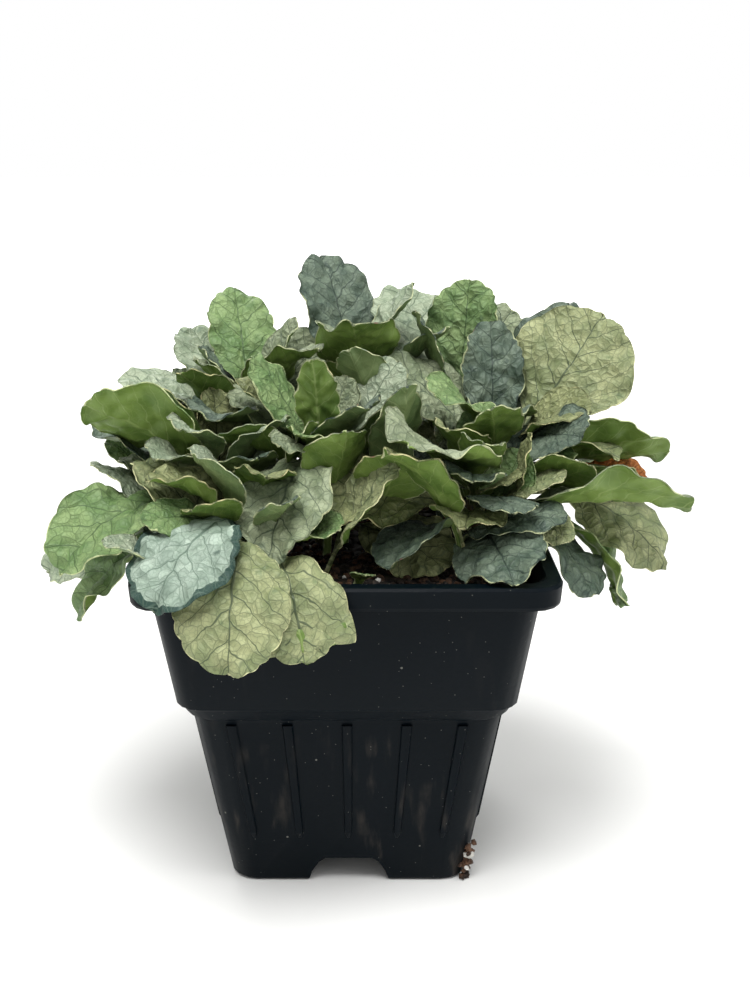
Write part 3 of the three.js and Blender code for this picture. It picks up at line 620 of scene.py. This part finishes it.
def leaf_grid(node):
    """The CAD leaf's rows of five points from stalk to blade, and its tip. Its
    skin is rings of eight points between a pole at each end, all joined by
    triangles."""
    shape = joined_mesh(node)
    poles = [v for v in shape.verts if len(v.link_edges) == 8]
    spread = [max((e.other_vert(v).co - v.co).length for e in v.link_edges) for v in poles]
    base, tip = (poles[0], poles[1]) if spread[0] < spread[1] else (poles[1], poles[0])
    after = {}
    for face in base.link_faces:
        corners = list(face.verts)
        at = corners.index(base)
        after[corners[(at + 2) % 3]] = corners[(at + 1) % 3]
    first = min(after, key=lambda v: (v.co - base.co).length)
    ring = [first]
    while len(ring) < 8:
        ring.append(after[ring[-1]])
    near = {v: {e.other_vert(v) for e in v.link_edges} for v in shape.verts}
    rings = [ring]
    seen = {base, *ring}
    while len(seen) < len(shape.verts) - 1:
        ring = [(near[ring[j - 1]] & near[ring[j]] - seen).pop() for j in range(8)]
        rings.append(ring)
        seen.update(ring)
    shell = np.array([[v.co[:] for v in ring] for ring in rings])
    tip_point = np.array(tip.co[:])
    shape.free()
    upper = shell[:, [6, 7, 0, 1, 2]]
    lower = shell[:, [6, 5, 4, 3, 2]]
    return (upper + lower) / 2, tip_point


def along_curve(points, at):
    """Smooth curve through the points, sampled at fractional indices."""
    last = len(points) - 1
    index = np.clip(np.floor(at).astype(int), 0, last - 1)
    part = (at - index).reshape((-1,) + (1,) * (points.ndim - 1))
    before = np.concatenate([2 * points[:1] - points[1:2], points, 2 * points[-1:] - points[-2:-1]])
    p0, p1, p2, p3 = (before[index + k] for k in range(4))
    bend = 2 * p0 - 5 * p1 + 4 * p2 - p3
    twist = 3 * p1 - p0 - 3 * p2 + p3
    return 0.5 * (2 * p1 + (p2 - p0) * part + bend * part ** 2 + twist * part ** 3)


def row_steps(count):
    """Stations along a leaf, closer together near the tip, as row indices."""
    return np.concatenate([
        np.linspace(0, 2, 5)[:-1], np.linspace(2, 10, count)[:-1], [10, 10.3, 10.55, 10.75, 10.9]
    ])


# Rows and columns of a large leaf, and of the smaller inner ones.
FINE = (row_steps(50), np.linspace(0, 4, 27))
PLAIN = (row_steps(28), np.linspace(0, 4, 17))


def unit(vectors):
    """The vectors at length 1."""
    return vectors / np.maximum(np.linalg.norm(vectors, axis=-1, keepdims=True), 1e-9)


def smooth_sheet(grid, tip, fineness):
    """A fine smooth sheet through the coarse one, running on to the tip."""
    rows = np.concatenate([grid, np.repeat(tip[None, None], 5, axis=1)])
    wide = along_curve(rows.transpose(1, 0, 2), fineness[1]).transpose(1, 0, 2)
    return along_curve(wide, fineness[0])


def closed_faces(count, across):
    """Faces of a closed leaf of count rows: upper side, under side, edges and
    tip; and which faces take the under side's look."""
    total = count * across
    tip = 2 * total
    index = np.arange(total).reshape(count, across)
    corners = [index[:-1, :-1], index[:-1, 1:], index[1:, 1:], index[1:, :-1]]
    quads = np.stack(corners, axis=-1).reshape(-1, 4)
    edge = []
    for k in range(count - 1):
        left, left_next = index[k, 0], index[k + 1, 0]
        right, right_next = index[k, -1], index[k + 1, -1]
        edge.append((left, left_next, left_next + total, left + total))
        edge.append((right, right + total, right_next + total, right_next))
    for j in range(across - 1):
        edge.append((index[0, j], index[0, j] + total, index[0, j + 1] + total, index[0, j + 1]))
    fans = []
    for j in range(across - 1):
        a, b = index[-1, j], index[-1, j + 1]
        fans.append((a, tip, b))
        fans.append((a + total, b + total, tip))
    fans.append((index[-1, 0], index[-1, 0] + total, tip))
    fans.append((index[-1, -1], tip, index[-1, -1] + total))
    faces = quads[:, ::-1].tolist() + (quads + total).tolist()
    faces = faces + [tuple(int(v) for v in face) for face in edge + fans]
    side_of = np.zeros(len(faces), dtype=np.int32)
    side_of[len(quads):2 * len(quads)] = 1
    return faces, side_of


def leaf_piece(name, grid, tip, seed, look, ruffle, fineness):
    """A fine closed leaf on the coarse sheet, with its looks' coordinates."""
    dice = np.random.default_rng(seed)
    row_at, column_at = fineness
    sheet = smooth_sheet(grid, tip, fineness)
    spread = along_curve(ACROSS, column_at)
    middle = len(column_at) // 2
    walk = np.linalg.norm(np.diff(sheet[:, middle], axis=0), axis=-1)
    reach = np.concatenate([[0], np.cumsum(walk)])
    stalk_end = np.interp(BLADE_FROM, row_at, reach)
    whole = reach[-1] + np.linalg.norm(tip - sheet[-1, middle])
    length = whole - stalk_end
    full_size = 40 * MM
    detail = min(1.0, length / full_size) * MM

    # Where each point stands on the blade, and how far in from its edge.
    sideways = np.concatenate([
        np.zeros((len(sheet), 1)),
        np.cumsum(np.linalg.norm(np.diff(sheet, axis=1), axis=-1), axis=1),
    ], axis=1)
    sideways -= sideways[:, middle:middle + 1]
    x = np.repeat(((reach - stalk_end) / length)[:, None], len(column_at), axis=1)
    y = sideways / length
    half = np.abs(sideways).max(axis=1, keepdims=True)
    to_side = (1 - np.abs(spread)[None]) * half
    to_tip = (whole - reach)[:, None] + 0 * to_side
    margin = np.minimum(to_side, to_tip)
    blade = np.clip((x + 0.02) / 0.14, 0, 1)
    blade = blade * blade * (3 - 2 * blade)
    rim = np.exp(-((margin / (3.2 * detail)) ** 2)) * blade

    # Scallops round the edge, and ruffles that run further in.
    normal = unit(np.cross(np.gradient(sheet, axis=1), np.gradient(sheet, axis=0)))
    heart = sheet[:, middle][np.argmin(np.abs(x[:, middle] - 0.55))]
    outward = sheet - heart
    outward -= (outward * normal).sum(-1, keepdims=True) * normal
    outward = unit(outward)
    turn = np.arctan2(y * 1.3, x - 0.55)
    lobes = 14 + dice.integers(0, 4)
    phase = dice.uniform(0, 6.28)
    scallop = np.abs(np.sin((turn + 0.15 * np.sin(3 * turn + phase)) * lobes / 2 + phase)) ** 0.7
    sheet = sheet + outward * ((scallop - 0.55) * 0.95 * detail * rim)[..., None]
    waves = np.sin(turn * 5 + phase * 2) + 0.8 * np.sin(turn * 9 + phase * 5)
    waves = waves + 0.6 * np.sin(turn * 2 + phase)
    wide_rim = np.exp(-((margin / (5.5 * detail)) ** 2)) * blade
    sheet = sheet + normal * (waves * ruffle * detail * wide_rim)[..., None]

    # The blade puffs up between side veins, folds in at the midrib and puckers.
    curve = x - VEIN_FORWARD * np.abs(y) - VEIN_BEND * y * y + VEIN_STAGGER * np.sign(y)
    between = 0.5 + 0.5 * np.cos(2 * np.pi * (curve * VEINS_A_LEAF))
    puff = between * np.clip(np.abs(y) / 0.06, 0, 1) * np.clip(margin / (3 * MM), 0, 1) * blade
    crease = np.exp(-((y / 0.018) ** 2)) * blade
    pucker = np.array([
        noise.noise(Vector((px * 11, py * 11, seed * 3.7)))
        for px, py in zip(x.ravel(), y.ravel())
    ]).reshape(x.shape)
    lift = puff * 0.6 - crease * 0.6 + pucker * blade
    sheet = sheet + normal * (lift * detail)[..., None]

    # Thickness: thin at the edge, fleshy at the stalk, keeled under the midrib.
    normal = unit(np.cross(np.gradient(sheet, axis=1), np.gradient(sheet, axis=0)))
    thick = 0.16 + 0.14 * np.clip(margin / (4 * MM), 0, 1) + 0.42 * (1 - blade)
    keel = np.exp(-((y / 0.022) ** 2)) * (0.55 - 0.4 * np.clip(x, 0, 1)) * blade
    top = sheet + normal * (thick * MM)[..., None]
    bottom = sheet - normal * ((thick + keel) * MM)[..., None]

    tip_at = sheet[-1, middle] + (tip - sheet[-1, middle]) * 0.9
    points = np.concatenate([top.reshape(-1, 3), bottom.reshape(-1, 3), tip_at[None]])
    faces, side_of = closed_faces(*x.shape)
    made = link_mesh(name, points.tolist(), faces, list(LEAF_LOOKS[look]))
    made.data.polygons.foreach_set("material_index", side_of)
    made.data.polygons.foreach_set("use_smooth", np.ones(len(faces), dtype=bool))
    own_pattern = seed * 1.37
    plan = np.stack([x, y, np.full_like(x, own_pattern)], axis=-1).reshape(-1, 3)
    plan = np.concatenate([plan, plan, [[1.0, 0.0, own_pattern]]])
    margin_mm = (margin / MM).ravel()
    margin_mm = np.concatenate([margin_mm, margin_mm, [0.0]])
    plan_of = made.data.attributes.new("plan", "FLOAT_VECTOR", "POINT")
    plan_of.data.foreach_set("vector", plan.ravel())
    margin_of = made.data.attributes.new("margin", "FLOAT", "POINT")
    margin_of.data.foreach_set("value", margin_mm)
    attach(made, "root")
    return made, sheet


# The crowd is looked at from seven sides: turn, rise and how much each matters.
LOOK_FROM = [
    (0, 16, 3.0), (-55, 20, 1.4), (55, 20, 1.4), (125, 20, 0.8), (-125, 20, 0.8),
    (180, 20, 0.8), (0, 78, 1.6),
]
MAP_CELL = 1.5 * MM
MAP_SIZE = 190
MAP_CENTRE = np.array([0, 0, 0.11])
VOXEL = 2 * MM
VOXELS = (140, 140, 80)


class Crowd:
    """What the leaves placed so far fill, and how near they come on each side."""

    def __init__(self):
        self.filled = np.zeros(VOXELS, dtype=bool)
        self.sides = []
        for azimuth, rise, worth in LOOK_FROM:
            turn, lean = math.radians(azimuth), math.radians(rise)
            toward = np.array([
                math.sin(turn) * math.cos(lean), -math.cos(turn) * math.cos(lean), math.sin(lean)
            ])
            right = np.array([math.cos(turn), math.sin(turn), 0])
            self.sides.append((toward, right, np.cross(toward, right), worth))
        self.depth = np.full((len(LOOK_FROM), MAP_SIZE, MAP_SIZE), -0.09)
        self.front = self.depth.copy()

    def cells(self, side, points):
        """Where the points stand in one side's map, and how near they come."""
        toward, right, up = side[:3]
        local = points - MAP_CENTRE
        across = np.clip((local @ right / MAP_CELL + MAP_SIZE / 2).astype(int), 0, MAP_SIZE - 1)
        upward = np.clip((local @ up / MAP_CELL + MAP_SIZE / 2).astype(int), 0, MAP_SIZE - 1)
        return across, upward, local @ toward

    def voxels(self, points):
        """The small cubes that the points stand in."""
        index = ((points + (0.14, 0.14, 0)) / VOXEL - (0, 0, 20)).astype(int)
        return tuple(np.clip(index, 0, np.array(self.filled.shape) - 1).T)

    def add(self, points):
        """Adds a placed leaf; 'front' is the nearest leaf within five cells."""
        self.filled[self.voxels(points)] = True
        for number, side in enumerate(self.sides):
            across, upward, near = self.cells(side, points)
            np.maximum.at(self.depth[number], (across, upward), near)
        wide = self.depth
        for axis in (1, 2):
            wide = np.max([np.roll(wide, shift, axis=axis) for shift in range(-5, 6)], axis=0)
        self.front = wide

    def worth(self, sheet):
        """Gaps closed, less what hides or cuts other leaves or pokes out."""
        points = sheet.reshape(-1, 3)
        total = 0.0
        for number, side in enumerate(self.sides):
            across, upward, near = self.cells(side, points)
            behind = self.depth[number, across, upward]
            ahead = self.front[number, across, upward]
            shown = near > behind + 1.5 * MM
            hole = behind < ahead - 9 * MM
            out = near > ahead + 2 * MM
            gain = np.count_nonzero(shown & hole & ~out) - 0.6 * np.count_nonzero(shown & ~hole)
            total += side[3] * (gain - 1.2 * np.count_nonzero(out))
        half_row, half_column = len(sheet) // 2, sheet.shape[1] // 2
        side_to_side = sheet[half_row, -1] - sheet[half_row, 0]
        half_to_tip = sheet[-1, half_column] - sheet[half_row, half_column]
        facing = unit(np.cross(side_to_side, half_to_tip))
        total += 0.7 * len(points) * float(facing @ (self.sides[0][0] + (0, 0, 0.4)))
        blade = points[len(points) // 4:]
        cut = np.count_nonzero(self.filled[self.voxels(blade)])
        reach = np.abs(blade[:, :2]).max(axis=1)
        mix_top, rim_top = 99 * MM, 104.5 * MM
        mix_edge, rim_edge = 52 * MM, 61 * MM
        low = np.where(reach < mix_edge, mix_top, rim_top)
        sunk = np.count_nonzero((blade[:, 2] < low) & (reach < rim_edge))
        return total / len(points) - 11 * cut / len(blade) - 14 * sunk / len(blade)


# The rim and the mix are in the crowd before any leaf.
crowd = Crowd()
for height, half in ((101, 58), (97, 52)):
    flat = np.linspace(-half, half, 90) * MM
    across, deep = np.meshgrid(flat, flat)
    crowd.add(np.stack([across.ravel(), deep.ravel(), np.full(across.size, height * MM)], axis=-1))

# The look of each CAD leaf, in the order of the numbers in its stem's leaves.
LEAF_COLOURS = {
    "front": ["silver", "yellow", "yellow", "fresh", "olive", "sage"],
    "left": ["fresh", "pale", "blue", "fresh", "sage", "pale", "blue", "blue", "pale"],
    "middle": ["sage", "olive", "sage", "olive", "olive", "blue"],
    "near_right": ["sage", "olive", "blue", "sage", "blue", "olive"],
    "right": [
        "yellow", "fresh", "fresh", "yellow", "blue", "blue", "sage", "sage", "blue", "blue"
    ],
    "back_left": ["fresh", "pale", "sage", "sage", "pale", "pale", "pale", "sage", "sage"],
    "back": ["blue", "pale", "sage", "sage", "pale"],
    "back_right": ["fresh", "pale", "sage", "sage", "sage", "yellow"],
}
seed = 0
for crown, colours in LEAF_COLOURS.items():
    for number, colour in enumerate(colours, start=1):
        seed += 1
        node = f"leaf_{crown}_{number}"
        grid, tip = leaf_grid(node)
        leaf, sheet = leaf_piece(f"blade_{crown}_{number}", grid, tip, seed, colour, 1.0, FINE)
        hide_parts(node)
        crowd.add(sheet.reshape(-1, 3))


# ---------------------------------------------------------------------------
# Inner leaves: the younger and smaller leaves that fill each rosette between
# the large ones, growing on its stem or up from a runner in the mix. Each takes
# the best of the places tried for it.
CROWNS = {
    "front": (-26, -30, 107), "left": (-38, -4, 117), "middle": (-8, -6, 121),
    "near_right": (37, -13, 116), "right": (45, 7, 123), "back_left": (-32, 26, 129),
    "back": (2, 32, 135), "back_right": (34, 28, 131),
}
INNER_ROWS = np.array([0, 0.45, 0.9, 0.1, 0.24, 0.38, 0.52, 0.66, 0.79, 0.9, 0.97])
WIDTH_AT = np.sin(np.pi * INNER_ROWS[3:] ** 1.15) ** 0.5
picker = random.Random(5)


def inner_sheet(foot, heading, rise, stalk, length, width, droop, cup, roll):
    """Grid and tip of a leaf growing freely from its foot; lengths in mm."""
    ahead = np.array([math.cos(heading), math.sin(heading), 0])
    right = np.array([ahead[1], -ahead[0], 0])
    up = np.array([0, 0, 1.0])
    stride_count = 40
    steps = np.linspace(0, 1, stride_count + 1)
    pitch = rise - droop * steps
    whole = stalk + length
    stride = (pitch[1:] + pitch[:-1]) / 2
    forward = np.concatenate([[0], np.cumsum(np.cos(stride))]) * whole / stride_count
    upward = np.concatenate([[0], np.cumsum(np.sin(stride))]) * whole / stride_count
    share = np.concatenate([INNER_ROWS[:3] * stalk, stalk + INNER_ROWS[3:] * length]) / whole
    centre = np.array(foot) + ahead * np.interp(share, steps, forward)[:, None]
    centre = centre + up * np.interp(share, steps, upward)[:, None]
    pitch = (rise - droop * share)[:, None]
    normal = up * np.cos(pitch) - ahead * np.sin(pitch)
    lean = (roll * np.minimum(1, share * 1.6))[:, None]
    side = right * np.cos(lean) + normal * np.sin(lean)
    normal = normal * np.cos(lean) - right * np.sin(lean)
    stalk_half = 1.2
    half = np.concatenate([[stalk_half] * 3, np.maximum(stalk_half, width / 2 * WIDTH_AT)])
    bow = (cup * half / (width / 2) + 1e-4)[:, None]
    sideways = half[:, None] * np.sin(bow * ACROSS) / bow
    bowed = half[:, None] * (1 - np.cos(bow * ACROSS)) / bow
    grid = centre[:, None] + side[:, None] * sideways[..., None]
    grid = grid + normal[:, None] * bowed[..., None]
    tip = np.array(foot) + ahead * forward[-1] + up * upward[-1]
    return grid * MM, tip * MM


def chosen_place(crown, growth):
    """One place a leaf could grow, on a stem or up from a runner in the mix."""
    x, y, top = CROWNS[crown]
    heading = picker.uniform(-math.pi, math.pi)
    if picker.random() < 0.55:
        drop = picker.uniform(0, (top - 100) * 0.75)
        foot = (x + 2.4 * math.cos(heading), y + 2.4 * math.sin(heading), top - drop)
        rise = picker.uniform(25, 80)
        stalk = picker.uniform(5, 12)
    else:
        inside = 48
        mix_height = 96.5
        foot_x = max(-inside, min(inside, x + picker.uniform(-20, 20)))
        foot_y = max(-inside, min(inside, y + picker.uniform(-20, 20)))
        foot = (foot_x, foot_y, mix_height)
        rise = picker.uniform(58, 88)
        stalk = picker.uniform(8, 14 + (top - 107) * 0.8)
    return inner_sheet(
        foot, heading, math.radians(rise), stalk, picker.uniform(20, 34) * growth,
        picker.uniform(15, 26) * growth, math.radians(picker.uniform(5, 70)),
        math.radians(picker.uniform(-10, 50)), math.radians(picker.uniform(-35, 35)),
    )


INNER_COUNT = {
    "front": 10, "left": 14, "middle": 16, "near_right": 13, "right": 15, "back_left": 15,
    "back": 15, "back_right": 14,
}
INNER_LOOKS = [
    "sage", "blue", "olive", "sage", "pale", "blue", "sage", "fresh", "olive", "yellow"
]
PLACES_TRIED = 60
# The first leaves placed are full grown, the rest younger and smaller.
GROWN_SHARE = 0.6
YOUNG_SIZE = 0.72
order = [crown for crown, count in INNER_COUNT.items() for number in range(count)]
picker.shuffle(order)
made_on = dict.fromkeys(INNER_COUNT, 0)
for index, crown in enumerate(order):
    made_on[crown] += 1
    growth = 1.0 if index < len(order) * GROWN_SHARE else YOUNG_SIZE
    places = [chosen_place(crown, growth) for attempt in range(PLACES_TRIED)]
    worths = [crowd.worth(smooth_sheet(*spot, PLAIN)) for spot in places]
    best = places[int(np.argmax(worths))]
    seed += 1
    look = INNER_LOOKS[seed % len(INNER_LOOKS)]
    leaf, sheet = leaf_piece(f"inner_{crown}_{made_on[crown]}", *best, seed, look, 0.7, PLAIN)
    crowd.add(sheet.reshape(-1, 3))


# ---------------------------------------------------------------------------
# Odd leaves: one leaf low on the right has withered to orange on its stem, and
# a seedling's leaf grows from the mix near the front of the pot.
ODD_LEAVES = [
    ("withered_leaf", "right", "withered", 0.9,
     inner_sheet((47.4, 7, 118), 0.03, 0.1, 27, 19, 13, 0.35, 0.5, -0.5)),
    ("seedling_leaf", "front", "fresh", 0.05,
     inner_sheet((3, -44, 97), -1.3, 1.1, 4, 8, 7, 0.9, 0.2, 0.2)),
]
for name, crown, look, ruffle, spot in ODD_LEAVES:
    seed += 1
    leaf, sheet = leaf_piece(name, *spot, seed, look, ruffle, PLAIN)
